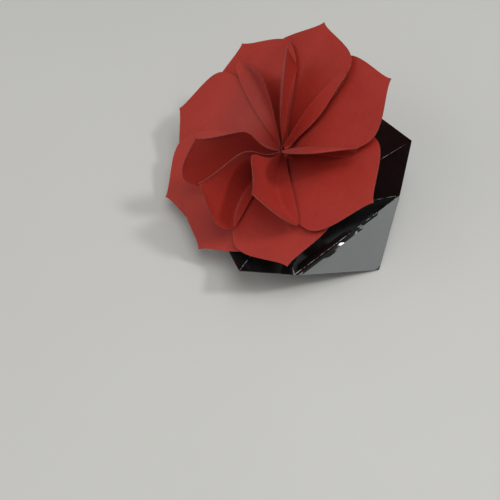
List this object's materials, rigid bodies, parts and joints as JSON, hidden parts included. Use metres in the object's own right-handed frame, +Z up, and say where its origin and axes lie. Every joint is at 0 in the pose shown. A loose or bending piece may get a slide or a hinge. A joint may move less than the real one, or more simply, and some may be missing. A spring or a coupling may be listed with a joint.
{
  "type": "paper flower",
  "caption": "Cut card flower with overlapping pointed petals, glued into a bowl folded from one hexagonal gloss card.",
  "frame": {"origin": "middle of the underside of the holder's flat centre facet, on the surface that the flower stands on", "axes": "+Z up, +X to the right as the flower is usually seen, -Y towards the viewer"},
  "size_m": [0.152, 0.1492, 0.0964],
  "materials": {
    "petal_card": "satin red card",
    "disc_card": "satin red card",
    "holder_card": "gloss black card, white core at the creases",
    "board": "plain grey board"
  },
  "bodies": {
    "root": {"holder": "holder_card", "spacer": "board", "backing_disc": "disc_card", "outer_petal_1": "petal_card", "outer_petal_2": "petal_card", "outer_petal_3": "petal_card", "outer_petal_4": "petal_card", "outer_petal_5": "petal_card", "outer_petal_6": "petal_card", "outer_petal_7": "petal_card", "outer_petal_8": "petal_card", "inner_petal_1": "petal_card", "inner_petal_2": "petal_card", "inner_petal_3": "petal_card", "inner_petal_4": "petal_card", "inner_petal_5": "petal_card", "inner_petal_6": "petal_card", "inner_petal_7": "petal_card"}
  },
  "joints": []
}
